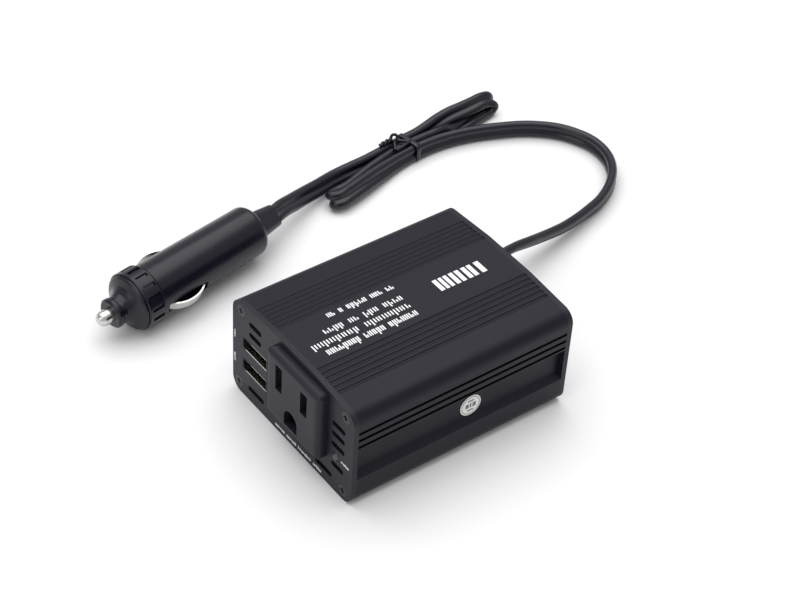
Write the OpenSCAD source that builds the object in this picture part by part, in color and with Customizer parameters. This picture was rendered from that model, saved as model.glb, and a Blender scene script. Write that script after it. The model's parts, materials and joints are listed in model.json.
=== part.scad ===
// Pocket 12 V power inverter: an extruded housing with one mains outlet and two USB
// sockets, a flat twin cord tied in a short hank, and a plug for a vehicle's 12 V socket.
// Units are millimetres. X points right seen from the front, Y to the rear and Z up.
// The origin is on the supporting surface, under the middle of the housing.

/* [Housing] */
// Width of the housing
body_w = 62.4; // [62:0.1:63]
// Height of the housing at its middle
body_h = 37.5; // [37.3:0.1:38]
// Length over both end panels
body_l = 80; // [79:0.5:84]
// Thickness of each end panel
panel_t = 1.8; // [1.6:0.1:2]
// Radius of the four long edges
corner_r = 4.4; // [4:0.1:4.6]
// How much lower the top is at its edges than at its middle
crown_drop = 1.3; // [0.8:0.1:1.4]
// Depth of the broad channel along each side
channel_depth = 2; // [1:0.1:2.2]

/* [Sockets] */
// How far the mains outlet stands out of the front panel
outlet_proud = 3.6; // [3:0.1:4]
// Distance of the outlet's middle from the housing's middle
outlet_x = 5; // [4.6:0.1:5.2]
// Height of the outlet's block at its middle
outlet_z = 22.5; // [22.3:0.1:22.7]
// Distance of the USB sockets from the housing's middle, to the left
usb_x = 19.3; // [19:0.1:19.6]
// Height of the lower USB socket
usb_low_z = 13; // [12.8:0.1:13.2]
// Distance between the two USB sockets
usb_pitch = 8.5; // [8.3:0.1:8.7]

/* [Fan] */
// Side of the square fan
fan_size = 30; // [30:0.5:30.5]
// Distance of the fan's axis from the housing's middle
fan_x = 8; // [6:0.5:8]

/* [Plug] */
// Diameter of the plug's barrel just behind the ring
barrel_d = 18.2; // [17.8:0.1:18.4]
// Diameter of the ribbed ring
ring_d = 19.9; // [19.6:0.1:20]
// Length from the pin's tip to the barrel's rear face
plug_l = 66; // [66:0.5:68]
// Diameter of the centre pin
pin_d = 5; // [4.8:0.1:5.2]
// Number of grooves round the ribbed ring
ring_grooves = 16; // [12:1:20]

/* [Cord] */
// Width of the flat twin cord
cord_w = 6.4; // [6:0.1:6.4]
// Thickness of the flat twin cord
cord_t = 3.2; // [3:0.1:3.2]

/* [Hidden] */
$fn = 48;

// Colours
black_metal = "#1d1e21";
black_plastic = "#17181a";
nickel = "#c9c9c6";
brass = "#c8a24a";
board_green = "#1f6b3c";
zinc = "#9fa3a8";

// Housing: the outlet's block and the two panels end at equal distances from the origin
front_y = outlet_proud / 2 - body_l / 2;
rear_y = outlet_proud / 2 + body_l / 2;
inner_front = front_y + panel_t;
inner_rear = rear_y - panel_t;
edge_x = body_w / 2 - corner_r;       // where the long edges' rounding starts
flat_x = 10;                          // half of the top's flat middle
cavity_x = 28;                        // half of the inside width
floor_t = 2;
ceiling_z = 35.2;
clear = 0.05;                         // gap between pieces that only touch

// Screws of the end panels
screw_r = 1.25;
screw_head_r = 2.1;
sink_depth = 0.8;
PANEL_SCREWS = [[-27.8, 3.6], [-26.8, 33], [27, 3.4], [27, 33]];

// Main board, held in the slots of the shell
board_z = 7;
board_t = 1.6;
board_top = board_z + board_t;
board_x = 28.9;
board_front = -34;
board_rear = 28.5;

// Mains outlet
block_x = outlet_x + 0.3;             // middle of the raised block
outlet_w = 26.8;
outlet_h = 25.6;
outlet_bevel = 2;
neck_w = 24.4;
neck_h = 24;
neck_l = 14;
blade_pitch = 12.7;
blade_z = outlet_z + 4.7;
ground_z = blade_z - 11.9;
outlet_face = front_y - outlet_proud;
outlet_back = front_y + neck_l;
cover_t = 2;
line_x = outlet_x + blade_pitch / 2;
neutral_x = outlet_x - blade_pitch / 2;
tab_l = 2;
lead_y = outlet_back + cover_t + 1;

// USB sockets
usb_high_z = usb_low_z + usb_pitch;
usb_w = 13.1;
usb_h = 4.6;
usb_l = 14;
usb_wall = 0.35;

// Indicator
led_x = 23.1;
led_z = 14.2;
led_r = 1.5;

// Feet of the clamp bars on the main board: side, then Y
clamp_x = 21.9;
CLAMP_FEET = [[1, -18], [1, 26.4], [-1, -16.6], [-1, 10.6]];

// Fan
fan_z = 18.75;
fan_t = 10;
fan_pitch = 24;
fan_front = inner_rear - fan_t;
grille_r = 13.2;

// Cord's way out of the rear panel
exit_x = -23;
exit_z = 12.5;
boot_l = 12;

// Plug: its own axis starts at the pin's tip and runs to the rear
plug_tip = [-67.9, -64.2, 10.1];
plug_heading = 10.5;
contact_roll = 15;
lower_contact_z = 30.1;               // middle of each side contact along the plug's axis
upper_contact_z = 28.6;
relief_roll = 37;
nose_front = 5;
nose_back = 13.15;
ring_front = 13.2;
lip_back = 14.8;
ring_back = 19.7;
barrel_front = 19.8;
barrel_rear_d = 17.2;
thread_r = 7.5;
bore_r = 3.9;
fuse_r = 3.1;
fuse_front = 11.5;
fuse_back = 43.5;
terminal_z = 56.5;
relief_in = 62;
relief_out = plug_l + 9.8;

// Cord routes: a point on the middle line, then the tilt of the cord's width from flat
LEAD = [
  [-23, 53.8, 12.5, -49], [-23.4, 60, 12.2, -49], [-24.5, 66.5, 11.3, -50],
  [-25.3, 71.8, 10, -52], [-26.4, 77, 8.4, -54], [-27.8, 84.3, 6.5, -57],
  [-29.1, 91.2, 5, -61], [-30.8, 98.7, 4, -66], [-32.4, 105, 3.5, -72],
  [-34.6, 112.6, 3.2, -80], [-39, 121, 3.2, -90], [-45.2, 127.6, 3.2, -90],
  [-52.3, 131.3, 3.2, -90], [-60, 132.2, 3.2, -90], [-67.2, 130.2, 3.2, -90],
  [-74.2, 125.8, 3.2, -90], [-81, 117.5, 3.2, -90], [-86.2, 106.5, 3.2, -90],
  [-89.4, 97, 3.2, -90], [-91.2, 86.5, 3.2, -90]
];
TAIL = [
  [-94.7, 52, 3.2, -90], [-93.9, 43.5, 3.4, -88], [-91.6, 35, 4.4, -78],
  [-88.9, 27.6, 6.2, -66], [-86.2, 21, 8, -53], [-83.8, 15.2, 9.6, -42],
  [-81.73, 10.43, 10.1, -37]
];
// Hank: middle of the bundle, half of its width and its height, at six places
HANK = [[-98.5, 113.6, 4, 8.6], [-97.2, 95, 4.3, 7.8], [-94.9, 80, 4.7, 6.5],
  [-94.3, 76, 4.8, 6.5],
  [-91, 58, 5.5, 6.7], [-84.9, 38.6, 4.2, 7]];
hank_low = 0.5;
hank_high = 6.5;                      // height inside the tie
tie_x = -94.3;
tie_y = 75;

// ---- shared shapes ----

// Extrudes a section drawn in X and Z along Y
module along_y(start, length)
  translate([0, start + length, 0]) rotate([90, 0, 0]) linear_extrude(length) children();

// A round bar along Y
module bar_y(x, start, z, length, r)
  translate([x, start, z]) rotate([-90, 0, 0]) cylinder(h = length, r = r);

// Section of a rounded rectangle, centred
module rounded(w, h, r) {
  square([w - 2 * r, h], center = true);
  square([w, h - 2 * r], center = true);
  for (x = [-1, 1], y = [-1, 1])
    translate([x * (w / 2 - r), y * (h / 2 - r)]) circle(r);
}

// Section of a slot with round ends
module slot(length, h) {
  square([length - h, h], center = true);
  for (x = [-1, 1]) translate([x * (length - h) / 2, 0]) circle(h / 2);
}

// Places its children at each point of a list
module at(points) for (p = points) translate(p) children();

// Moves to the plug's axis, with Z running from the pin's tip to the rear
module on_plug(roll = 0)
  translate(plug_tip) rotate([0, 0, plug_heading]) rotate([-90, 0, 0]) rotate(roll) children();

function unit(v) = v / norm(v);
function point(p) = [p[0], p[1], p[2]];
function heading(path, i) =
  unit(point(path[min(i + 1, len(path) - 1)]) - point(path[max(i - 1, 0)]));

// One closed tube along a path; its section is w wide and t thick, and side_of gives the
// direction that the width lies across when the tilt is 0
module tube(path, w, t, sides = 8, side_of = [0, 0, 1]) {
  rings = [for (i = [0 : len(path) - 1])
    let (ahead = heading(path, i),
         across = unit(cross(side_of, ahead)),
         up = cross(ahead, across),
         tilt = len(path[i]) > 3 ? path[i][3] : 0,
         wide = across * cos(tilt) + up * sin(tilt),
         thin = up * cos(tilt) - across * sin(tilt))
    [for (k = [0 : sides - 1])
      let (a = 360 * (k + 0.5) / sides)
      point(path[i]) + wide * cos(a) * w / 2 + thin * sin(a) * t / 2]];
  count = len(path);
  polyhedron(
    points = [for (ring = rings, p = ring) p],
    faces = concat(
      [[for (k = [0 : sides - 1]) k]],
      [[for (k = [sides - 1 : -1 : 0]) (count - 1) * sides + k]],
      [for (i = [0 : count - 2], k = [0 : sides - 1])
        let (a = i * sides + k, b = i * sides + (k + 1) % sides)
        [a, a + sides, b + sides, b]]));
}

// A wire of round section
module wire(path, r, side_of = [1, 0, 0]) tube(path, 2 * r, 2 * r, 8, side_of);

// ---- housing ----

// Outline of the housing and of both panels
module outline() {
  translate([-body_w / 2, corner_r]) square([body_w, body_h - crown_drop - 2 * corner_r]);
  for (s = [-1, 1], z = [corner_r, body_h - crown_drop - corner_r])
    translate([s * edge_x, z]) circle(corner_r);
  polygon([[-edge_x, 0], [edge_x, 0], [edge_x, body_h - crown_drop], [flat_x, body_h],
    [-flat_x, body_h], [-edge_x, body_h - crown_drop]]);
}

// Fine grooves along the top, in two groups
module top_grooves() {
  groove_r = 0.8;
  rise = 0.45;
  for (s = [-1, 1], i = [0 : 5]) {
    x = 10.5 + 2 * i;
    surface = body_h - crown_drop * (x - flat_x) / (edge_x - flat_x);
    translate([s * x, surface + rise]) circle(groove_r);
  }
}

// Broad channel with a sloping lower side, and three narrow grooves above it
module side_channels() {
  wall_x = body_w / 2 - channel_depth;
  out_x = body_w / 2 + 1;
  groove_w = 1.1;
  for (s = [-1, 1]) scale([s, 1]) {
    polygon([[out_x, 22.3], [wall_x, 22.3], [wall_x, 12.2], [out_x - 1, 10.4], [out_x, 10.4]]);
    for (z = [28.85, 26.15, 23.45])
      translate([body_w / 2 - 1.1, z - groove_w / 2]) square([3, groove_w]);
  }
}

module shell() color(black_metal)
  along_y(inner_front, inner_rear - inner_front) difference() {
    union() {
      difference() {
        outline();
        translate([-cavity_x, floor_t]) square([2 * cavity_x, ceiling_z - floor_t]);
      }
      intersection() {
        outline();
        at(PANEL_SCREWS) circle(2.9);
      }
    }
    top_grooves();
    side_channels();
    at(PANEL_SCREWS) circle(screw_r);
    translate([0, board_z + board_t / 2]) square([2 * (board_x + clear), board_t + 2 * clear],
      center = true);
  }

// Sunk holes for the four screws of an end panel whose outer face is at y
module panel_holes(y, inwards) {
  for (p = PANEL_SCREWS) {
    bar_y(p[0], min(y, y + inwards * panel_t) - 1, p[1], panel_t + 2, screw_r + clear);
    bar_y(p[0], min(y, y + inwards * sink_depth), p[1], sink_depth, screw_head_r + 0.1);
  }
}

// Ventilation slots of the front panel: middle X, height and length
FRONT_SLOTS = [[-19.1, 31.3, 6.4], [-19.1, 27.2, 6.4], [-18.4, 5, 8.4], [24, 26.6, 6.4],
  [24, 22.6, 6.4], [24, 18.4, 6.4], [24, 10.4, 6], [17.2, 4.8, 8.6]];

module front_panel() color(black_metal) difference() {
  along_y(front_y, panel_t) difference() {
    outline();
    for (s = FRONT_SLOTS) translate([s[0], s[1]]) slot(s[2], 1.9);
    translate([outlet_x, outlet_z]) square([neck_w + 2 * clear, neck_h + 2 * clear],
      center = true);
    for (z = [usb_low_z, usb_high_z])
      translate([-usb_x, z]) square([usb_w + 0.3, usb_h + 0.3], center = true);
    translate([led_x, led_z]) circle(led_r + clear);
  }
  panel_holes(front_y, 1);
}

module rear_panel() color(black_metal) difference() {
  along_y(inner_rear, panel_t) difference() {
    outline();
    for (i = [-3 : 3], s = [-1, 1]) {
      height = i * 3.6;
      length = sqrt(grille_r * grille_r - height * height) - 1;
      translate([fan_x + s * (1 + length / 2), fan_z + height]) slot(length, 1.9);
    }
    translate([exit_x, exit_z]) circle(4);
    fan_holes() circle(1.35);
  }
  panel_holes(rear_y, -1);
  fan_holes(true) bar_y(0, rear_y - sink_depth, 0, sink_depth, 2.2);
}

// Places its children at the fan's four screws, in a section or in the model
module fan_holes(solid = false)
  for (x = [-1, 1], z = [-1, 1]) {
    px = fan_x + x * fan_pitch / 2;
    pz = fan_z + z * fan_pitch / 2;
    translate(solid ? [px, 0, pz] : [px, pz, 0]) children();
  }

// Screw along Y with a domed, cross-recessed head; its head's outer face is at y
module screw(x, y, z, inwards, length, shank_r, head_r) {
  head_t = 0.75;
  translate([x, y, z]) rotate([inwards > 0 ? -90 : 90, 0, 0]) difference() {
    union() {
      cylinder(h = head_t, r = head_r);
      cylinder(h = length, r = shank_r);
    }
    for (a = [0, 90]) rotate(a) translate([0, 0, 0.2])
      cube([head_r * 1.1, 0.5, 0.9], center = true);
  }
}

module front_screws() color("#2a2b2e")
  for (p = PANEL_SCREWS) screw(p[0], front_y, p[1], 1, 8, screw_r - clear, screw_head_r);

module rear_screws() color("#2a2b2e")
  for (p = PANEL_SCREWS) screw(p[0], rear_y, p[1], -1, 8, screw_r - clear, screw_head_r);

// Round paper label in the right side's channel
module label_disc() color("#f4f4f2")
  translate([body_w / 2 - channel_depth, 6, 16.1]) rotate([0, 90, 0]) cylinder(h = 0.15, r = 3.8);

// ---- mains outlet ----

// Block with rounded edges: the sections seen from above and from the side, crossed
module outlet_block() intersection() {
  along_y(outlet_face, outlet_proud)
    translate([block_x, outlet_z]) rounded(outlet_w, outlet_h, 1.8);
  translate([block_x, 0, 0]) linear_extrude(body_h) bevel_section(outlet_w);
  translate([0, 0, outlet_z]) rotate([90, 0, 90]) linear_extrude(body_w, center = true)
    rotate(-90) mirror([1, 0]) bevel_section(outlet_h);
}

module bevel_section(w) {
  corner = [for (a = [0 : 22.5 : 90])
    [w / 2 - outlet_bevel * (1 - cos(a)), outlet_face + outlet_bevel * (1 - sin(a))]];
  polygon(concat([[-w / 2, front_y], [w / 2, front_y]], corner,
    [for (i = [len(corner) - 1 : -1 : 0]) [-corner[i][0], corner[i][1]]]));
}

// Section of the ground opening: round above, flat below
module ground_opening(r) {
  circle(r);
  translate([-r, -r]) square([2 * r, r]);
}

module outlet_body() color(black_plastic) difference() {
  union() {
    outlet_block();
    along_y(front_y, neck_l) translate([outlet_x, outlet_z]) square([neck_w, neck_h],
      center = true);
  }
  along_y(outlet_face - 1, outlet_proud + neck_l + 2) {
    translate([neutral_x, blade_z]) square([3.3, 9.6], center = true);
    translate([line_x, blade_z]) square([3.3, 8.4], center = true);
    translate([outlet_x, ground_z]) ground_opening(3.3);
  }
  along_y(front_y - 1.6, neck_l + 2.8) {
    for (x = [neutral_x, line_x]) translate([x, blade_z]) square([5.4, 10], center = true);
    translate([outlet_x, ground_z + 0.2]) square([7.2, 7.8], center = true);
  }
}

module outlet_cover() color(black_plastic) along_y(outlet_back, cover_t) difference() {
  translate([outlet_x, outlet_z]) square([neck_w, neck_h], center = true);
  for (x = [neutral_x, line_x])
    translate([x, blade_z]) square([1, 2.4], center = true);
  translate([outlet_x, ground_z]) square([1, 2.4], center = true);
}

// Two spring leaves that grip a flat blade, joined at the rear, with a solder tab
module blade_contact(x) color(brass) {
  leaf_start = front_y - 1.2;
  leaf_l = neck_l + 0.2;
  for (s = [-1, 1]) translate([x + s * 1.35 - 0.3, leaf_start, blade_z - 3.2])
    cube([0.6, leaf_l, 6.4]);
  translate([x - 1.65, leaf_start + leaf_l - 0.6, blade_z - 3.2]) cube([3.3, 0.6, 6.4]);
  translate([x - 0.4, leaf_start + leaf_l, blade_z - 1.1])
    cube([0.8, outlet_back + cover_t + tab_l - leaf_start - leaf_l, 2.2]);
}

module line_contact() blade_contact(line_x);

module neutral_contact() blade_contact(neutral_x);

module ground_contact() color(brass) {
  sleeve_start = front_y + 0.6;
  sleeve_l = neck_l - 1.6;
  difference() {
    bar_y(outlet_x, sleeve_start, ground_z, sleeve_l, 3);
    bar_y(outlet_x, sleeve_start - 1, ground_z, sleeve_l + 0.4, 2.5);
    translate([outlet_x - 0.6, sleeve_start - 1, ground_z]) cube([1.2, sleeve_l + 0.2, 4]);
  }
  translate([outlet_x - 0.4, sleeve_start + sleeve_l - 0.2, ground_z - 1.1])
    cube([0.8, outlet_back + cover_t + tab_l - sleeve_start - sleeve_l + 0.2, 2.2]);
}

// Bare-ended leads from the outlet's tabs down to the main board
module outlet_leads() color("#d8d8d4")
  for (p = [[line_x, blade_z], [neutral_x, blade_z], [outlet_x, ground_z]])
    wire([for (z = [p[1] - 1.1, (p[1] + board_top) / 2, board_top]) [p[0], lead_y, z]], 0.8);

// ---- USB sockets ----

module usb_shell(z) color(nickel) difference() {
  along_y(front_y, usb_l) translate([-usb_x, z]) rounded(usb_w, usb_h, 0.6);
  along_y(front_y - 1, usb_l + 2) translate([-usb_x, z])
    square([usb_w - 2 * usb_wall, usb_h - 2 * usb_wall], center = true);
}

module usb_tongue(z) color(black_plastic) {
  translate([-usb_x - 6.1, front_y + 10, z - 1.9]) cube([12.2, usb_l - 10, 3.8]);
  translate([-usb_x - 5.5, front_y + 1.2, z - 0.1]) cube([11, 9, 1.8]);
}

module usb_contacts(z) color(brass)
  for (i = [-1.5 : 1.5]) translate([-usb_x + i * 2.3 - 0.5, front_y + 2, z - 0.4])
    cube([1, 7.9, 0.3 - clear]);

module usb_upper_shell() usb_shell(usb_high_z);

module usb_lower_shell() usb_shell(usb_low_z);

module usb_upper_tongue() usb_tongue(usb_high_z);

module usb_lower_tongue() usb_tongue(usb_low_z);

module usb_upper_contacts() usb_contacts(usb_high_z);

module usb_lower_contacts() usb_contacts(usb_low_z);

module usb_board() color(board_green)
  translate([-usb_x - 7.6, front_y + usb_l, board_top]) cube([14.4, board_t, 19]);

// Angled pins between the USB board and the main board
module usb_header() color(brass)
  for (i = [0 : 3]) translate([-usb_x - 4 + i * 2.54, front_y + usb_l + board_t, board_top]) {
    cube([0.6, 2, 0.6]);
    translate([0, 1.4, 0]) cube([0.6, 0.6, 2.4]);
  }

// ---- indicator ----

module power_led() color([0.75, 0.78, 0.8]) {
  translate([led_x, front_y + 0.7, led_z]) sphere(r = led_r);
  bar_y(led_x, front_y + 0.7, led_z, 4.3, led_r);
  bar_y(led_x, front_y + panel_t + clear, led_z, 1, 1.9);
  for (s = [-1, 1]) {
    translate([led_x + s * 0.9 - 0.25, front_y + 5, led_z - 0.25]) cube([0.5, 2, 0.5]);
    translate([led_x + s * 0.9 - 0.25, front_y + 6.5, board_top])
      cube([0.5, 0.5, led_z + 0.25 - board_top]);
  }
}

// ---- boards and their parts ----

module main_board() color(board_green) difference() {
  translate([-board_x, board_front, board_z])
    cube([2 * board_x, board_rear - board_front, board_t]);
  for (f = CLAMP_FEET) translate([f[0] * (clamp_x - 2.4), f[1], board_z - 1])
    cylinder(h = board_t + 2, r = 1.3);
}

transformer = [-3, 0, board_top + 0.4];

module transformer_core() color("#2b2b2e") translate(transformer) difference() {
  translate([-15, -5.5, 0]) cube([30, 11, 24]);
  for (s = [-1, 1]) translate([s * 7.5 - 3, -6, 4.5]) cube([6, 12, 15]);
}

module transformer_bobbin() color("#3a3733") translate(transformer) {
  difference() {
    union() {
      translate([-5.4, -6.4, 4.6]) cube([10.8, 12.8, 14.8]);
      for (z = [4.6, 18.4]) translate([-10.3, -11, z]) cube([20.6, 22, 1]);
    }
    translate([-4.55, -5.55, 4]) cube([9.1, 11.1, 16]);
  }
  for (x = [-7.5, -2.5, 2.5, 7.5], y = [-9.5, 9.5])
    translate([x, y, -0.4]) cylinder(h = 5.1, r = 0.4);
}

module transformer_winding() color("#b9892f") translate(transformer) difference() {
  translate([0, 0, 5.65]) linear_extrude(12.7) rounded(20, 21.4, 4);
  translate([-5.45, -6.45, 5]) cube([10.9, 12.9, 14]);
}

// Can capacitor that stands on the main board
module can(x, y, r, h) translate([x, y, board_top]) {
  cylinder(h = h - 0.8, r = r);
  translate([0, 0, h - 0.8]) cylinder(h = 0.8, r1 = r, r2 = r - 0.8);
}

module bulk_capacitor() color("#23335a") can(10, 19, 6.4, 24);

module input_capacitors() color("#1d4d39") {
  can(-10, 17, 5, 20);
  can(-22, 19, 5, 20);
}

// Copper ring wound on a core, lying on the main board
module output_choke() color("#b4682c") translate([13.6, -12, board_top + 2.4])
  rotate_extrude() translate([3.2, 0]) circle(1.9);

module control_chip() color("#222326") {
  translate([-15, -20, board_top + 0.5]) cube([19.6, 6.2, 3.5]);
  for (i = [0 : 7], y = [-20.4, -13.8]) translate([-14.2 + i * 2.54, y, board_top])
    cube([0.5, 0.4, 2]);
}

module alarm_buzzer() color(black_plastic) translate([23.3, -24.6, board_top]) difference() {
  cylinder(h = 7, r = 4.2);
  translate([0, 0, 5]) cylinder(h = 3, r = 1);
}

module board_fuse() color("#e08a1e") {
  translate([17.2, 14, board_top + 4]) cube([3.4, 10.6, 9]);
  for (y = [15, 20.8]) translate([18.5, y, board_top]) cube([0.8, 2.8, 4.5]);
}

// Power transistor whose metal tab faces a side wall; s is -1 at the left wall
module transistor(s, y) {
  tab_x = cavity_x - 0.35;
  x = function (from, to) [min(s * from, s * to), abs(to - from)];
  tab = x(tab_x, tab_x - 1.2);
  case = x(tab_x - 1.2, tab_x - 4.6);
  leg = x(tab_x - 2.6, tab_x - 3.2);
  difference() {
    translate([tab[0], y - 5, 12.8]) cube([tab[1], 10, 15.4]);
    translate([s * cavity_x - 3, y, 25]) rotate([0, 90, 0]) cylinder(h = 6, r = 1.8);
  }
  translate([case[0], y - 5, 12.8]) cube([case[1], 10, 9]);
  for (i = [-1, 0, 1]) translate([leg[0], y + i * 2.54 - 0.4, board_top])
    cube([leg[1], 0.8, 12.8 - board_top]);
}

module left_transistors() color("#2f3033") for (y = [-9, 3]) transistor(-1, y);

module right_transistors() color("#2f3033") for (y = [-11, 0, 11, 21.5]) transistor(1, y);

module left_pad() color("#b7bcc2")
  translate([-cavity_x, -15, 12.4]) cube([0.3, 24.5, 16.6]);

module right_pad() color("#b7bcc2")
  translate([cavity_x - 0.3, -16.5, 12.4]) cube([0.3, 43.5, 16.6]);

// Spring bar that presses a row of transistors on the wall, on two feet
module clamp_bar(s, from, to) color(zinc) {
  bar_t = 1.1;
  x = s > 0 ? clamp_x : -clamp_x - bar_t;
  translate([x, from, 15.5]) cube([bar_t, to - from, 4]);
  for (y = [from, to - 2.4]) {
    translate([x, y, board_top]) cube([bar_t, 2.4, 8]);
    difference() {
      translate([min(s * (clamp_x - 4.6), s * (clamp_x + bar_t)), y, board_top])
        cube([4.6 + bar_t, 2.4, 1]);
      translate([s * (clamp_x - 2.4), y + 1.2, board_top - 1]) cylinder(h = 3, r = 1);
    }
  }
}

module left_clamp() clamp_bar(-1, -17.8, 11.8);

module right_clamp() clamp_bar(1, -19.2, 27.6);

module clamp_screws() color(zinc)
  for (f = CLAMP_FEET) translate([f[0] * (clamp_x - 2.4), f[1], 0]) {
    translate([0, 0, board_top + 1]) cylinder(h = 1.2, r = 1.2);
    translate([0, 0, board_top - 1.4]) cylinder(h = 2.6, r = 0.95);
  }

// ---- fan ----

hub_r = 7;

module fan_frame() color("#1b1c1e") difference() {
  along_y(fan_front, fan_t - clear) translate([fan_x, fan_z]) rounded(fan_size, fan_size, 1.5);
  difference() {
    bar_y(fan_x, fan_front - 1, fan_z, fan_t + 2, 14);
    bar_y(fan_x, fan_front, fan_z, 1.3, hub_r);
    for (a = [45 : 90 : 315])
      translate([fan_x, fan_front, fan_z]) rotate([0, a, 0]) translate([0, 0, -1])
        cube([15, 1.3, 2]);
  }
  bar_y(fan_x, fan_front - 1, fan_z, 3, 1.03);
  fan_holes(true) bar_y(0, fan_front - 1, 0, fan_t + 2, 1.25);
}

// Wound stator on the frame's hub plate
module fan_stator() color("#a3622c") difference() {
  bar_y(fan_x, fan_front + 1.3, fan_z, 5, 5.4);
  bar_y(fan_x, fan_front + 1, fan_z, 6, 1.4);
}

module fan_rotor() color("#202124") {
  cup_start = fan_front + 1.8;
  cup_l = 7.2;
  difference() {
    bar_y(fan_x, cup_start, fan_z, cup_l, hub_r);
    bar_y(fan_x, cup_start - 1, fan_z, cup_l - 0.2, 5.9);
  }
  bar_y(fan_x, fan_front + 0.2, fan_z, cup_l + 0.8, 1);
  intersection() {
    difference() {
      bar_y(fan_x, cup_start + 0.3, fan_z, cup_l - 0.6, 13.6);
      bar_y(fan_x, cup_start, fan_z, cup_l, hub_r - 0.3);
    }
    for (i = [0 : 6]) translate([fan_x, cup_start + cup_l / 2, fan_z])
      rotate([0, i * 360 / 7, 0]) rotate([40, 0, 0]) translate([0, -0.5, -7]) cube([15, 1, 14]);
  }
}

module fan_screws() color("#2a2b2e")
  fan_holes(true) screw(0, rear_y, 0, -1, 8.5, 1.2, 2.1);

module fan_leads() color("#b02a22")
  for (x = [-1.2, 1.2])
    wire([[x, fan_front - 0.1, 12], [x, fan_front - 0.9, 12], [x, fan_front - 1.9, 11.5],
      [x, fan_front - 2.6, 10.4], [x, fan_front - 2.8, board_top]], 0.5);

// ---- cord's entry ----

// Moulded boot: a collar on each side of the rear panel and a tapered sleeve outside
module cord_boot() color(black_plastic) {
  bar_y(exit_x, inner_rear - 1.6, exit_z, 1.6 - clear, 4.8);
  bar_y(exit_x, inner_rear - 0.1, exit_z, panel_t + 0.2, 3.95);
  bar_y(exit_x, rear_y + clear, exit_z, 1.5, 5.1);
  translate([exit_x, rear_y + 1.5, exit_z]) rotate([-90, 0, 0])
    cylinder(h = boot_l - 1.5, r1 = 4.4, r2 = 3.6);
}

// The cord's two wires inside the housing
module input_leads() color("#a32420")
  for (s = [-1, 1])
    wire([[exit_x + s * 1.5, inner_rear - 1.6, exit_z], [exit_x + s * 1.5, 37.6, exit_z],
      [exit_x + s * 1.6, 35, 12.3],
      [exit_x + s * 2, 31, 11.8], [exit_x + s * 2.4, 28, 11], [exit_x + s * 2.6, 26.4, 9.8],
      [exit_x + s * 2.6, 26.3, 9.1], [exit_x + s * 2.6, 26.3, board_top]], 1.2);

// ---- cord ----

module cord_lead() color(black_plastic) tube(LEAD, cord_w, cord_t);

module cord_tail() color(black_plastic) tube(TAIL, cord_w, cord_t);

// Outer shape of the tied bundle: three runs of cord with a fold at each end
module cord_hank() color(black_plastic)
  for (i = [0 : len(HANK) - 2]) hull() {
    for (e = [HANK[i], HANK[i + 1]]) translate([e[0], e[1], hank_low])
      cylinder(h = e[3] - hank_low, r = e[2], $fn = 24);
  }

// Twisted wire tie: a band round the bundle and the loop of its twisted ends
module twist_tie() color(black_plastic) {
  translate([tie_x, tie_y, (hank_low + hank_high) / 2]) rotate([0, 0, 9]) difference() {
    cube([11.2, 3, hank_high + hank_low], center = true);
    cube([9.9, 4, hank_high - hank_low], center = true);
  }
  translate([-101.3, 74.4, 4.6]) rotate([70, 0, 20]) rotate_extrude() translate([2.4, 0])
    circle(0.7);
}

// ---- plug ----

// Outline of the barrel from the axis outwards, with a rounded rear edge
module barrel_section() {
  edge = 2.2;
  rear_r = barrel_rear_d / 2;
  polygon(concat(
    [[0, 15.6], [thread_r, 15.6], [thread_r, barrel_front], [barrel_d / 2 - 0.4, barrel_front],
      [barrel_d / 2, barrel_front + 0.5]],
    [for (a = [0 : 15 : 90])
      [rear_r - edge + edge * cos(a), plug_l - edge + edge * sin(a)]],
    [[0, plug_l]]));
}

module plug_barrel() color(black_plastic) on_plug(contact_roll) difference() {
  rotate_extrude() barrel_section();
  translate([0, 0, 15]) cylinder(h = relief_in - 15, r = bore_r);
  translate([0, 0, relief_in - 1]) cylinder(h = 10, r = 3.2);
  translate([5.4, -1.8, lower_contact_z - 8.3]) cube([10, 3.6, 16.6]);
  translate([-15.4, -1.8, upper_contact_z - 8.3]) cube([10, 3.6, 16.6]);
}

// Ribbed ring that screws onto the barrel and holds the nose
module plug_ring() color(black_plastic) on_plug() difference() {
  rotate_extrude() polygon([[6.55, ring_front], [ring_d / 2 - 0.3, ring_front],
    [ring_d / 2, ring_front + 0.3], [ring_d / 2, ring_back - 0.3],
    [ring_d / 2 - 0.3, ring_back], [thread_r + clear, ring_back],
    [thread_r + clear, lip_back], [6.55, lip_back]]);
  for (i = [0 : ring_grooves - 1]) rotate((i + 0.5) * 360 / ring_grooves)
    translate([ring_d / 2 - 0.6, -0.75, ring_front + 1.3]) cube([2, 1.5, 4.5]);
}

// Flared nose; its rear flange turns in the ring
module plug_nose() color(black_plastic) on_plug() rotate_extrude() {
  flare_r = 4.5;
  polygon(concat(
    [[pin_d / 2 + clear, nose_front], [4.3, nose_front], [5, nose_front + 0.6],
      [5, nose_front + 1.7], [4.7, nose_front + 2.2]],
    [for (a = [0 : 15 : 75])
      [4.7 + flare_r - flare_r * cos(a), nose_front + 2.4 + flare_r * sin(a)]],
    [[ring_d / 2 - 1.1, 12.1], [ring_d / 2 - 0.6, 12.6], [ring_d / 2 - 0.6, nose_back],
      [6.5, nose_back], [6.5, lip_back + 0.05], [7.3, lip_back + 0.05], [7.3, 15.5],
      [bore_r, 15.5], [bore_r, 9.5], [pin_d / 2 + clear, 9.5]]));
}

module centre_pin() color(nickel) on_plug() rotate_extrude() polygon(concat(
  [for (a = [-90 : 15 : 0]) [pin_d / 2 * cos(a), pin_d / 2 * (1 + sin(a))]],
  [[pin_d / 2, 9.55], [3.4, 9.55], [3.4, fuse_front], [0, fuse_front]]));

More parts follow.
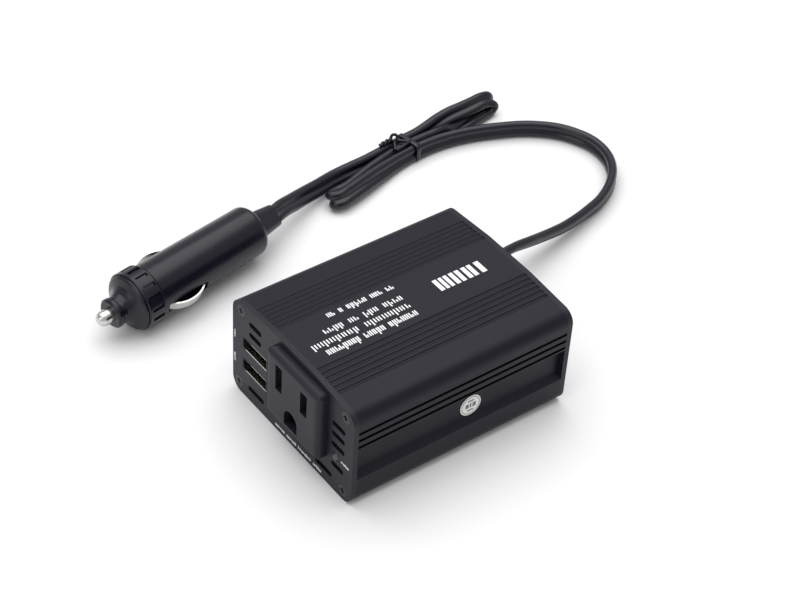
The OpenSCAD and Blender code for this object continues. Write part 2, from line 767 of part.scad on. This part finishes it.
module plug_fuse() color("#d9d5c8") on_plug() rotate_extrude()
  polygon([[0, fuse_front], [fuse_r, fuse_front], [fuse_r, fuse_front + 6],
    [fuse_r - 0.3, fuse_front + 6], [fuse_r - 0.3, fuse_back - 6], [fuse_r, fuse_back - 6],
    [fuse_r, fuse_back], [0, fuse_back]]);

// Compression spring behind the fuse
module fuse_spring() color(zinc) on_plug() {
  turns = 5;
  per_turn = 12;
  length = terminal_z - fuse_back - 1.2;
  steps = turns * per_turn;
  tube([for (i = [0 : steps]) [2.6 * cos(i * 360 / per_turn), 2.6 * sin(i * 360 / per_turn),
    fuse_back + 0.6 + length * i / steps]], 0.8, 0.8, 6, [0.001, 0, 1]);
}

module plug_terminal() color(brass) on_plug() translate([0, 0, terminal_z])
  cylinder(h = 1.2, r = bore_r - clear);

module plug_leads() color("#a32420") on_plug(relief_roll)
  for (s = [-1, 1]) translate([s * 1.5, 0, terminal_z + 1.2])
    cylinder(h = relief_in - terminal_z - 1.2, r = 1.2);

// Tapered sleeve where the cord enters the plug
module plug_relief() color(black_plastic) on_plug(relief_roll) {
  translate([0, 0, relief_in]) cylinder(h = plug_l - relief_in + 0.5, r = 3.1);
  hull() {
    translate([0, 0, plug_l + clear]) linear_extrude(0.4) rounded(9.8, 8.4, 3);
    translate([0, 0, relief_out - 0.6]) linear_extrude(0.6) rounded(7.8, 5, 2.2);
  }
}

// Bowed spring strip that stands out of the barrel through its slot; z is its middle
module side_contact(z) {
  bow_r = 11.5;
  intersection() {
    translate([11.1 - bow_r, 0, z]) rotate([90, 0, 0]) difference() {
      cylinder(h = 2.9, r = bow_r, center = true);
      cylinder(h = 5, r = bow_r - 0.5, center = true);
    }
    translate([7.8, -3, z - 11]) cube([5, 6, 22]);
  }
}

module lower_side_contact() color(nickel)
  on_plug(contact_roll) side_contact(lower_contact_z);

module upper_side_contact() color(nickel)
  on_plug(contact_roll + 180) side_contact(upper_contact_z);

shell();
front_panel();
rear_panel();
front_screws();
rear_screws();
label_disc();
outlet_body();
outlet_cover();
line_contact();
neutral_contact();
ground_contact();
outlet_leads();
usb_upper_shell();
usb_lower_shell();
usb_upper_tongue();
usb_lower_tongue();
usb_upper_contacts();
usb_lower_contacts();
usb_board();
usb_header();
power_led();
main_board();
transformer_core();
transformer_bobbin();
transformer_winding();
bulk_capacitor();
input_capacitors();
output_choke();
control_chip();
alarm_buzzer();
board_fuse();
left_transistors();
right_transistors();
left_pad();
right_pad();
left_clamp();
right_clamp();
clamp_screws();
fan_frame();
fan_stator();
fan_rotor();
fan_screws();
fan_leads();
input_leads();
cord_boot();
cord_lead();
cord_hank();
cord_tail();
twist_tie();
plug_relief();
plug_barrel();
plug_ring();
plug_nose();
centre_pin();
plug_fuse();
fuse_spring();
plug_terminal();
plug_leads();
lower_side_contact();
upper_side_contact();
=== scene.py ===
"""Looks of a pocket power inverter with its tied cord and vehicle plug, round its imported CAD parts."""
import json
import math
import random

import bpy
from mathutils import Euler, Matrix, Vector


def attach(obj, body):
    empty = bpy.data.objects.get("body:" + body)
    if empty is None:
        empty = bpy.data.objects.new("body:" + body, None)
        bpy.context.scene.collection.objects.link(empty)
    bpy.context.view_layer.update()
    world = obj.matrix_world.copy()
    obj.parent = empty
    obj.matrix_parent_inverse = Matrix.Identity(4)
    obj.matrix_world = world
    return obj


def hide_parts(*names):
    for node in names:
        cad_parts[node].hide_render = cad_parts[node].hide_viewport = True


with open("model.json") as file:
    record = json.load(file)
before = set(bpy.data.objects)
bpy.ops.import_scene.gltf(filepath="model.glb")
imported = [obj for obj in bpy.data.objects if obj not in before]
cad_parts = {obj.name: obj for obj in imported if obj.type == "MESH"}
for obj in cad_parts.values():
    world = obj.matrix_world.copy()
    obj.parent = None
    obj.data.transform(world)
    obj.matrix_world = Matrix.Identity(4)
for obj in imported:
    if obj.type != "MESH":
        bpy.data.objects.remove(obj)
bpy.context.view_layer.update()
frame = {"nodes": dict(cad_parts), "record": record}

MM = 0.001
NODES = frame["nodes"]
ROOT = "inverter"

# ---------------------------------------------------------------- camera and floor

CAMERA_AT = Vector((0.3520, -0.2841, 0.4391))
AZIMUTH, ELEVATION, ROLL = 51.07, 41.51, 3.91
LENS = 92.1
SENSOR = 36

camera_data = bpy.data.cameras.new("camera")
camera_data.lens = LENS
camera_data.sensor_width = SENSOR
camera_data.sensor_fit = "HORIZONTAL"
camera_data.clip_start = 0.01
camera_data.clip_end = 20
camera = bpy.data.objects.new("camera", camera_data)
bpy.context.scene.collection.objects.link(camera)
turn = Euler((math.radians(90 - ELEVATION), 0, math.radians(AZIMUTH))).to_matrix()
roll = Matrix.Rotation(math.radians(ROLL), 3, "Z")
camera.matrix_world = Matrix.Translation(CAMERA_AT) @ (turn @ roll).to_4x4()
bpy.context.scene.camera = camera
bpy.context.scene.view_settings.view_transform = "Standard"


# ---------------------------------------------------------------- materials

# The part of a noise value's range that holds most of its values
NOISE_LOW, NOISE_HIGH = 0.3, 0.7


def noise(tree, vector, scale, detail=3.0, rough=0.55):
    n = tree.nodes.new("ShaderNodeTexNoise")
    n.inputs["Scale"].default_value = scale
    n.inputs["Detail"].default_value = detail
    n.inputs["Roughness"].default_value = rough
    tree.links.new(vector, n.inputs["Vector"])
    return n.outputs["Fac"]


def spread(tree, value, low, high):
    """Maps a noise value's middle part to a range."""
    m = tree.nodes.new("ShaderNodeMapRange")
    m.inputs["From Min"].default_value = NOISE_LOW
    m.inputs["From Max"].default_value = NOISE_HIGH
    m.inputs["To Min"].default_value = low
    m.inputs["To Max"].default_value = high
    tree.links.new(value, m.inputs["Value"])
    return m.outputs["Result"]


def surface(name, colour, rough, metallic=0.0, tone=0.12, vary=0.05, cloud=60.0, grain=1500.0,
            relief=0.02, stretch=(1, 1, 1), specular=0.5):
    """A moulded, painted or metal surface: slow changes of tone and gloss, and a fine relief."""
    m = bpy.data.materials.new(name)
    m.use_nodes = True
    tree = m.node_tree
    shader = tree.nodes["Principled BSDF"]
    shader.inputs["Metallic"].default_value = metallic
    shader.inputs["Specular IOR Level"].default_value = specular
    coords = tree.nodes.new("ShaderNodeTexCoord")
    mapping = tree.nodes.new("ShaderNodeMapping")
    mapping.inputs["Scale"].default_value = stretch
    tree.links.new(coords.outputs["Object"], mapping.inputs["Vector"])
    vector = mapping.outputs["Vector"]
    clouds = noise(tree, vector, cloud)
    grains = noise(tree, vector, grain, 2.0)
    ramp = tree.nodes.new("ShaderNodeValToRGB")
    ramp.color_ramp.elements[0].position = NOISE_LOW
    ramp.color_ramp.elements[1].position = NOISE_HIGH
    ramp.color_ramp.elements[0].color = [c * (1 - tone) for c in colour] + [1]
    ramp.color_ramp.elements[1].color = [min(c * (1 + tone), 1) for c in colour] + [1]
    tree.links.new(clouds, ramp.inputs["Fac"])
    tree.links.new(ramp.outputs["Color"], shader.inputs["Base Color"])
    both = tree.nodes.new("ShaderNodeMath")
    both.operation = "MULTIPLY_ADD"
    both.inputs[1].default_value = 0.5
    tree.links.new(grains, both.inputs[0])
    half = tree.nodes.new("ShaderNodeMath")
    half.operation = "MULTIPLY"
    half.inputs[1].default_value = 0.5
    tree.links.new(clouds, half.inputs[0])
    tree.links.new(half.outputs[0], both.inputs[2])
    tree.links.new(spread(tree, both.outputs[0], rough - vary, rough + vary),
                   shader.inputs["Roughness"])
    bump = tree.nodes.new("ShaderNodeBump")
    bump.inputs["Distance"].default_value = relief * MM
    bump.inputs["Strength"].default_value = 1.0
    tree.links.new(grains, bump.inputs["Height"])
    tree.links.new(bump.outputs["Normal"], shader.inputs["Normal"])
    return m


MATERIALS = {
    "anodised_aluminium": surface("anodised", (0.0052, 0.0052, 0.0118), 0.46, metallic=0.1, tone=0.1,
                                  grain=2600, relief=0.005, stretch=(1, 0.2, 1), specular=0.25),
    "black_panel": surface("panel_plastic", (0.009, 0.0083, 0.0155), 0.5, grain=1700, relief=0.01,
                           specular=0.3),
    "black_plastic": surface("plug_plastic", (0.0055, 0.0052, 0.0125), 0.27, grain=900,
                             relief=0.004, vary=0.04, specular=0.36),
    "black_pvc": surface("cord_pvc", (0.0045, 0.0045, 0.0125), 0.3, grain=900, relief=0.008,
                         cloud=90, specular=0.45),
    "black_steel": surface("black_steel", (0.03, 0.03, 0.034), 0.38, metallic=0.6, relief=0.004),
    "zinc_steel": surface("zinc_steel", (0.55, 0.56, 0.58), 0.32, metallic=1.0, relief=0.004),
    "nickel": surface("nickel", (0.6, 0.59, 0.57), 0.22, metallic=1.0, tone=0.06, vary=0.05,
                      cloud=120, grain=2200, relief=0.002),
    "brass": surface("brass", (0.75, 0.56, 0.24), 0.28, metallic=1.0, relief=0.003),
    "label_paper": surface("label_paper", (0.8, 0.8, 0.78), 0.6, tone=0.05, grain=1200,
                           relief=0.01),
    "board": surface("board", (0.02, 0.16, 0.06), 0.35, cloud=300, tone=0.3),
    "ferrite": surface("ferrite", (0.04, 0.04, 0.045), 0.7, grain=900, relief=0.03),
    "bobbin": surface("bobbin_plastic", (0.03, 0.028, 0.026), 0.4),
    "winding": surface("winding_tape", (0.55, 0.36, 0.06), 0.35, stretch=(1, 1, 6), cloud=200),
    "copper": surface("enamelled_copper", (0.6, 0.24, 0.09), 0.3, metallic=0.9, cloud=500),
    "blue_can": surface("blue_sleeve", (0.02, 0.04, 0.16), 0.3, cloud=150),
    "green_can": surface("green_sleeve", (0.015, 0.1, 0.05), 0.3, cloud=150),
    "chip": surface("chip_epoxy", (0.016, 0.016, 0.018), 0.55, grain=1200, relief=0.02),
    "fuse_plastic": surface("fuse_plastic", (0.7, 0.24, 0.02), 0.25),
    "pad": surface("silicone_pad", (0.42, 0.45, 0.48), 0.6, relief=0.01),
    "fan_plastic": surface("fan_plastic", (0.013, 0.013, 0.015), 0.45, relief=0.01),
    "red_wire": surface("wire_insulation", (0.4, 0.02, 0.015), 0.4),
    "fuse_glass": surface("fuse_ceramic", (0.75, 0.73, 0.66), 0.2, tone=0.04),
    "lens": surface("led_resin", (0.05, 0.046, 0.062), 0.2, tone=0.1, vary=0.03),
}
WHITE_INK = surface("white_ink", (0.82, 0.82, 0.84), 0.5, tone=0.06, cloud=900, relief=0.004)
GREY_INK = surface("grey_ink", (0.16, 0.16, 0.17), 0.5, tone=0.1, cloud=900, relief=0.004)

SLOTS = {s["node"]: s["material_slot"] for s in frame["record"]["subparts"]}
for name, node in NODES.items():
    node.data.materials.clear()
    node.data.materials.append(MATERIALS[SLOTS[name]])


# ---------------------------------------------------------------- building pieces

def piece(name, verts, faces, material, slot, body=ROOT, smooth=True):
    """A new mesh object that rides on a body."""
    mesh = bpy.data.meshes.new(name)
    mesh.from_pydata([tuple(v) for v in verts], [], faces)
    mesh.materials.append(material)
    for p in mesh.polygons:
        p.use_smooth = smooth
    mesh.update()
    obj = bpy.data.objects.new(name, mesh)
    bpy.context.scene.collection.objects.link(obj)
    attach(obj, body)
    return obj


UP = Vector((0, 0, 1))
SPAN_STEPS = 24                       # fine steps between two of a route's points
CORD_STEP, STRAND_STEP = 0.6, 0.3     # millimetres between two rings of a sweep


def place(v):
    """The position held in a route's point."""
    return Vector(v[:3])


def leaning(points, level=None):
    """Route points (x, y, z, lean) with the direction of the cord's width in place of the lean.

    The lean is measured downwards from the level direction, which lies across the route if none
    is given."""
    out = []
    for i, (x, y, z, lean) in enumerate(points):
        ahead = place(points[min(i + 1, len(points) - 1)]) - place(points[max(i - 1, 0)])
        flat = level or UP.cross(ahead).normalized()
        width = flat * math.cos(math.radians(lean)) - UP * math.sin(math.radians(lean))
        out.append((x, y, z, *width))
    return out


def smooth_route(points, step):
    """A smooth line through the points, cut into equal lengths of about step."""
    fine = []
    last = len(points) - 1
    for i in range(last):
        p0, p1, p2, p3 = (Vector(points[min(max(j, 0), last)]) for j in (i - 1, i, i + 1, i + 2))
        knots = [0.0]
        for a, b in ((p0, p1), (p1, p2), (p2, p3)):
            knots.append(knots[-1] + max(place(b - a).length, 1e-4) ** 0.5)
        for k in range(SPAN_STEPS):
            t = knots[1] + (knots[2] - knots[1]) * k / SPAN_STEPS
            fine.append(barry_goldman((p0, p1, p2, p3), knots, t))
    fine.append(Vector(points[-1]))
    return resample(fine, step)


def barry_goldman(p, k, t):
    """A point of the Catmull-Rom curve through four points with the given knots."""
    a = [p[i] * ((k[i + 1] - t) / (k[i + 1] - k[i])) + p[i + 1] * ((t - k[i]) / (k[i + 1] - k[i]))
         for i in range(3)]
    b = [a[i] * ((k[i + 2] - t) / (k[i + 2] - k[i])) + a[i + 1] * ((t - k[i]) / (k[i + 2] - k[i]))
         for i in range(2)]
    return b[0] * ((k[2] - t) / (k[2] - k[1])) + b[1] * ((t - k[1]) / (k[2] - k[1]))


def resample(fine, step):
    """The same line cut into equal lengths."""
    lengths = [0.0]
    for a, b in zip(fine, fine[1:]):
        lengths.append(lengths[-1] + place(b - a).length)
    count = max(2, round(lengths[-1] / step))
    out, j = [], 0
    for i in range(count + 1):
        want = lengths[-1] * i / count
        while j < len(fine) - 2 and lengths[j + 1] < want:
            j += 1
        span = max(lengths[j + 1] - lengths[j], 1e-9)
        out.append(fine[j].lerp(fine[j + 1], min(1.0, (want - lengths[j]) / span)))
    return out


def sweep(name, route, section, material, slot, body=ROOT):
    """A closed solid that carries a section along a route, its width along the route's own."""
    verts, faces = [], []
    count = len(section)
    for i, p in enumerate(route):
        ahead = place(route[min(i + 1, len(route) - 1)] - route[max(i - 1, 0)]).normalized()
        width = Vector(p[3:6])
        wide = (width - ahead * width.dot(ahead)).normalized()
        thin = ahead.cross(wide)
        verts += [(place(p) + wide * w + thin * t) * MM for w, t in section]
    for i in range(len(route) - 1):
        for k in range(count):
            a, b = i * count + k, i * count + (k + 1) % count
            faces.append((a, b, b + count, a + count))
    for ring, order in ((0, -1), (len(route) - 1, 1)):
        faces.append([ring * count + k for k in range(count)][::order])
    return piece(name, verts, faces, material, slot, body)


def twin_section(width, core, web, steps=11):
    """Two round cores side by side, joined by a narrower web."""
    r = core / 2
    offset = width / 2 - r
    half = math.pi - math.asin(web / 2 / r)
    points = []
    for side in (1, -1):
        for i in range(steps):
            a = -half + 2 * half * i / (steps - 1)
            points.append((side * (offset + r * math.cos(a)), side * r * math.sin(a)))
    return points


# ---------------------------------------------------------------- cord

CORD_W, CORD_T, WEB = 6.4, 3.2, 1.5
# Each point is x, y, z and the lean of the cord's width. The positions of LEAD, and of TAIL from its
# third point on, repeat part.scad's.
LEAD = [
    (-23, 53.8, 12.5, 49), (-23.4, 60, 12.2, 49), (-24.5, 66.5, 11.3, 50),
    (-25.3, 71.8, 10, 52), (-26.4, 77, 8.4, 54), (-27.8, 84.3, 6.5, 57),
    (-29.1, 91.2, 5, 61), (-30.8, 98.7, 4, 66), (-32.4, 105, 3.5, 72),
    (-34.6, 112.6, 3.2, 80), (-39, 121, 3.2, 90), (-45.2, 127.6, 3.2, 90),
    (-52.3, 131.3, 3.2, 90), (-60, 132.2, 3.2, 90), (-67.2, 130.2, 3.2, 90),
    (-74.2, 125.8, 3.2, 90), (-81, 117.5, 3.2, 90), (-86.2, 106.5, 3.2, 90),
    (-89.4, 97, 3.2, 90), (-91.2, 86.5, 3.2, 86),
]
HANK = [
    # through the tie to the left fold
    (-91, 75, 3.2, 80), (-89.8, 67, 3.3, 72), (-88.4, 61.5, 3.5, 62), (-86.6, 55, 3.9, 52),
    (-84.9, 49, 4.2, 46), (-83.5, 43.7, 4.3, 44), (-82.6, 39.6, 4.3, 44),
    (-82.9, 37.2, 4.15, 44), (-84, 36, 3.7, 44), (-85.4, 36.6, 3.1, 42),
    # back through the tie, then flat on the floor to the right fold
    (-86.2, 39, 2.8, 42), (-86.7, 43.7, 2.8, 45), (-88.1, 49, 2.9, 50), (-90, 55, 3, 60),
    (-91.7, 61.5, 3.1, 66), (-93.1, 67, 3.15, 72), (-94.3, 75, 3.2, 80), (-94.6, 83, 3.2, 80),
    (-94.5, 88, 3.15, 74), (-94.6, 92, 2.9, 54), (-95, 96, 2.2, 20), (-95.8, 100, 1.9, 10),
    (-97, 106, 1.8, 6), (-98, 111, 1.85, 8),
    (-98.6, 114.6, 2.2, 14), (-98.9, 116.2, 3.9, 26), (-99.1, 115.2, 5.6, 34),
    # back on top and through the tie once more
    (-99.2, 112.2, 6.3, 36), (-98.9, 108, 6.3, 36), (-98.8, 103, 6.1, 42),
    (-99, 97, 5.7, 50), (-99.1, 92, 4.8, 62), (-98.6, 87, 4, 72), (-98, 82, 3.5, 78),
    (-97.6, 75, 3.2, 80),
]
TAIL = [
    (-96.3, 67, 3.15, 70), (-95.1, 58, 3.1, 62), (-94.7, 52, 3.2, 62), (-93.9, 43.5, 3.4, 62),
    (-91.6, 35, 4.4, 60), (-88.9, 27.6, 6.2, 54), (-86.2, 21, 8, 46), (-83.8, 15.2, 9.6, 40),
    (-81.73, 10.43, 10.1, 37),
]
route = smooth_route(leaning(LEAD) + leaning(HANK, Vector((1, 0, 0))) + leaning(TAIL),
                     CORD_STEP)
cord = sweep("cord", route, twin_section(CORD_W, CORD_T, WEB), MATERIALS["black_pvc"], "black_pvc")
cord_length = sum(place(b - a).length for a, b in zip(route, route[1:])) * MM
print("cord length", round(cord_length, 4))
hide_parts("cord_lead", "cord_hank", "cord_tail")


# ---------------------------------------------------------------- twist tie

TIE_AT = Vector((-94.3, 75.5, 3.5))
TIE_HEADING = math.radians(9)
# Half of the band's loop and its corner radius
BAND_W, BAND_H, BAND_CORNER = 5.1, 3.3, 1.6
CORNER_STEPS = 5
WIRE_R = 0.55


def tie_band():
    """A flat band round the three runs of cord, drawn as a closed rounded loop."""
    loop = []
    for cx, cz, start in ((1, 1, 0), (-1, 1, 90), (-1, -1, 180), (1, -1, 270)):
        for i in range(CORNER_STEPS + 1):
            a = math.radians(start + 90 * i / CORNER_STEPS)
            loop.append((cx * (BAND_W - BAND_CORNER) + BAND_CORNER * math.cos(a),
                         cz * (BAND_H - BAND_CORNER) + BAND_CORNER * math.sin(a)))
    cos, sin = math.cos(TIE_HEADING), math.sin(TIE_HEADING)
    verts, faces = [], []
    section = [(1.1, 0.0), (0.75, 0.3), (-0.75, 0.3), (-1.1, 0.0), (-0.75, -0.2), (0.75, -0.2)]
    for i, (x, z) in enumerate(loop):
        out = Vector((x, z)).normalized()
        for along, off in section:
            lx, lz = x + out.x * off, z + out.y * off
            at = Vector((lx * cos - along * sin, lx * sin + along * cos, lz))
            verts.append((TIE_AT + at) * MM)
    count = len(section)
    for i in range(len(loop)):
        j = (i + 1) % len(loop)
        for k in range(count):
            n = (k + 1) % count
            faces.append((i * count + k, j * count + k, j * count + n, i * count + n))
    return verts, faces


tie = piece("tie_band", *tie_band(), MATERIALS["black_pvc"], "black_pvc")
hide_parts("twist_tie")


def round_section(radius, steps=8):
    """A round wire."""
    return [(radius * math.cos(2 * math.pi * i / steps), radius * math.sin(2 * math.pi * i / steps))
            for i in range(steps)]


def twisted(start, end, radius, turns, phase, steps=40):
    """One strand of a twisted pair, as a helix from start to end."""
    start, end = Vector(start), Vector(end)
    axis = (end - start).normalized()
    side = axis.cross(UP).normalized()
    up = side.cross(axis)
    out = []
    for i in range(steps + 1):
        a = 2 * math.pi * turns * i / steps + phase
        p = start.lerp(end, i / steps) + radius * (side * math.cos(a) + up * math.sin(a))
        out.append((*p, 1, 0, 0))
    return out


# The tie's ends on top of the hank: an eye that stands up, a forked knot and a twisted tail
EYE_AT, EYE_R = Vector((-97, 71, 7.6)), 1.15
EYE_SIDE, EYE_UP = Vector((0.55, 0.83, 0)), Vector((-0.35, 0.23, 0.9))
EYE_FACING = EYE_SIDE.cross(EYE_UP)
eye = [(*(EYE_AT + EYE_R * (EYE_SIDE * math.cos(a) + 1.15 * EYE_UP * math.sin(a))), *EYE_FACING)
       for a in (2 * math.pi * i / 20 for i in range(21))]
TIE_ENDS = {
    "tie_fork": [(-91.9, 68, 6.9, 0), (-93.2, 68.7, 7.2, 0), (-94.8, 69.6, 7.4, 0),
                 (-96, 70.4, 7.3, 0)],
    "tie_strand": [(-91.7, 68.2, 6.9, 0), (-91.9, 69.8, 7.1, 0), (-92.2, 71.9, 7.2, 0),
                   (-92.6, 73.6, 7.1, 0), (-93.2, 75.2, 6.9, 0)],
    "tie_cross": [(-95.9, 71.6, 7.3, 0), (-94.6, 72.6, 7.3, 0), (-93.6, 74, 7.1, 0),
                  (-93.4, 75.4, 6.9, 0)],
}
strands = {name: leaning(points) for name, points in TIE_ENDS.items()}
strands["tie_eye"] = eye
TAIL_ENDS = (-97.2, 70.3, 7.4), (-97.1, 65.2, 6.7)
TWIST_R, TWIST_TURNS = 0.5, 1.5
for letter, phase in (("a", 0), ("b", math.pi)):
    strands["tie_tail_" + letter] = twisted(*TAIL_ENDS, TWIST_R, TWIST_TURNS, phase)
tie_parts = [tie] + [
    sweep(name, smooth_route(points, STRAND_STEP), round_section(WIRE_R), MATERIALS["black_pvc"],
          "black_pvc") for name, points in strands.items()]

# ---------------------------------------------------------------- printing, painted shade on the sockets, and label

# The faces that carry print: the flat of the top, the front panel (which also carries painted shade on
# the sockets) and the label in the channel
TOP_Z, FRONT_Y, LABEL_X = 37.5, -38.2, 29.35
SUNK = 0.02                           # how far print reaches into its face
TOP, FRONT, CHANNEL = (
    lambda u, v, out: Vector((u, v, TOP_Z + out)) * MM,
    lambda u, v, out: Vector((u, FRONT_Y - out, v)) * MM,
    lambda u, v, out: Vector((LABEL_X + out, u, v)) * MM,
)


def prints_and_painted_shade(name, shapes, place, material=WHITE_INK, slot="label_paper", thick=0.04):
    """Thin flat shapes on one face, for print and for painted shade, each a closed outline of (u, v)
    points in millimetres.
    """
    verts, faces = [], []
    for shape in shapes:
        base, count = len(verts), len(shape)
        verts += [place(u, v, out) for out in (-SUNK, thick) for u, v in shape]
        faces += [tuple(base + k for k in reversed(range(count))),
                  tuple(base + count + k for k in range(count))]
        faces += [(base + k, base + (k + 1) % count, base + count + (k + 1) % count,
                   base + count + k) for k in range(count)]
    return piece(name, verts, faces, material, slot, smooth=False)


def bar(u0, v0, u1, v1):
    return [(u0, v0), (u1, v0), (u1, v1), (u0, v1)]


def dashes(start, end, base, height, words, rng):
    """Pairs of thin bars in a row along v, in groups that stand for words."""
    out = []
    unit = (end - start) / (sum(words) + len(words) - 1)
    stroke = min(0.45, 0.3 * unit)
    v = start
    for word in words:
        for _ in range(word):
            tall = height * rng.choice((0.7, 0.7, 0.7, 1.0))
            out.append(bar(base, v, base + tall, v + stroke))
            second = v + unit * rng.uniform(0.42, 0.52)
            low = rng.choice((0, 0, 0.35)) * height
            out.append(bar(base + low, second, base + 0.7 * height, second + stroke))
            v += unit
        v += unit
    return out


rng = random.Random(7)
# A big mark and four small lines on the top
MARK_BARS = [(13.9, 15.4), (16, 17.2), (17.8, 19.1), (19.9, 21.4), (22.1, 23.6), (24.6, 26.1),
             (26.7, 28.2), (29.5, 31.3)]
prints_and_painted_shade("top_mark", [bar(-2.6, a, 2.6, b) for a, b in MARK_BARS], TOP)
prints_and_painted_shade("top_lines", sum([
    dashes(-21.1, 3.1, -7.9, 2.5, [2, 1, 5, 3, 2], rng),
    dashes(-25.9, 2.6, -2.6, 2.6, [4, 2, 3, 4], rng),
    dashes(-32.6, 2.8, 1.3, 2.7, [8, 8], rng),
    dashes(-30.1, 2.3, 5, 3, [8, 5, 7], rng)], []), TOP)


def upright(shapes):
    """The same shapes with u and v exchanged."""
    return [[(v, u) for u, v in shape][::-1] for shape in shapes]


# Small print under the outlet, beside the sockets and beside the indicator
prints_and_painted_shade("front_print", upright(dashes(-7.9, 16.4, 1.4, 1.2, [6, 6, 8, 5], rng)
                              + dashes(25.8, 29.8, 13.9, 1, [4], rng))
       + dashes(20.3, 23.5, -30.4, 0.9, [4], rng) + dashes(10.7, 13.9, -30.4, 0.9, [4], rng), FRONT)


def ring(u, v, outer, inner, steps=32):
    """A ring as one row of short bars."""
    out = []
    for i in range(steps):
        a, b = 2 * math.pi * i / steps, 2 * math.pi * (i + 1) / steps
        out.append([(u + r * math.cos(t), v + r * math.sin(t))
                    for r, t in ((inner, a), (outer, a), (outer, b), (inner, b))])
    return out


# Painted shade: dark bars over the ends and part of the upper edge of each socket's metal shell, standing
# in for the dark reflection and shade on the shell there
SOCKET_X, SOCKET_W, SOCKET_H = -19.3, 13.2, 4.7
SOCKET_Z = 13.0, 21.5
SOCKET_SHADE_BARS = ((-1, -1, -0.93, 1), (-0.93, -1, -0.72, -0.82), (0.94, -0.8, 1, 1),
        (-0.93, 0.82, -0.3, 1), (-0.3, 0.92, 0.94, 1))
prints_and_painted_shade("socket_painted_shade", [bar(SOCKET_X + u0 * SOCKET_W / 2, z + v0 * SOCKET_H / 2,
                           SOCKET_X + u1 * SOCKET_W / 2, z + v1 * SOCKET_H / 2)
                       for z in SOCKET_Z for u0, v0, u1, v1 in SOCKET_SHADE_BARS],
       FRONT, MATERIALS["black_panel"], "black_panel", 0.03)
prints_and_painted_shade("label_print", ring(6, 16.1, 3.35, 3.15) + [
    bar(4.1, 15.3, 5.3, 16.9), bar(5.7, 15.3, 6.3, 16.9), bar(6.7, 15.3, 7.9, 16.9),
    bar(4.9, 14, 7.1, 14.5), bar(4.9, 17.7, 7.1, 18.2)], CHANNEL, GREY_INK)

# ---------------------------------------------------------------- points along the cord, every second one, computed and not kept

[tuple(place(p) * MM) for p in route[::2] + [route[-1]]]

# ---------------------------------------------------------------- floor, light and world

floor_material = bpy.data.materials.new("floor")
floor_material.use_nodes = True
floor_shader = floor_material.node_tree.nodes["Principled BSDF"]
floor_shader.inputs["Base Color"].default_value = (0.845, 0.845, 0.855, 1)
floor_shader.inputs["Roughness"].default_value = 0.9
floor_shader.inputs["Specular IOR Level"].default_value = 0.1
floor_mesh = bpy.data.meshes.new("floor")
FLOOR, FLOOR_Z = 4.0, -0.0002
floor_mesh.from_pydata([(x * FLOOR, y * FLOOR, FLOOR_Z) for x, y in ((-1, -1), (1, -1), (1, 1), (-1, 1))],
                       [], [(0, 1, 2, 3)])
floor_mesh.materials.append(floor_material)
floor = bpy.data.objects.new("floor", floor_mesh)
bpy.context.scene.collection.objects.link(floor)

world = bpy.data.worlds.new("world")
bpy.context.scene.world = world
world.use_nodes = True
world.node_tree.nodes["Background"].inputs["Color"].default_value = (1, 1, 1, 1)
world.node_tree.nodes["Background"].inputs["Strength"].default_value = 0.55


def area_light(name, at, target, size, power):
    data = bpy.data.lights.new(name, "AREA")
    data.shape = "RECTANGLE"
    data.size, data.size_y = size
    data.energy = power
    light = bpy.data.objects.new(name, data)
    light.location = at
    light.rotation_euler = (Vector(target) - Vector(at)).to_track_quat("-Z", "Y").to_euler()
    bpy.context.scene.collection.objects.link(light)
    return light


area_light("overhead", (-0.35, 0.1, 1.5), (-0.03, 0.03, 0), (2.0, 2.0), 27)
area_light("front", (0.2, -1.3, 0.7), (0, 0, 0), (0.9, 0.7), 3)
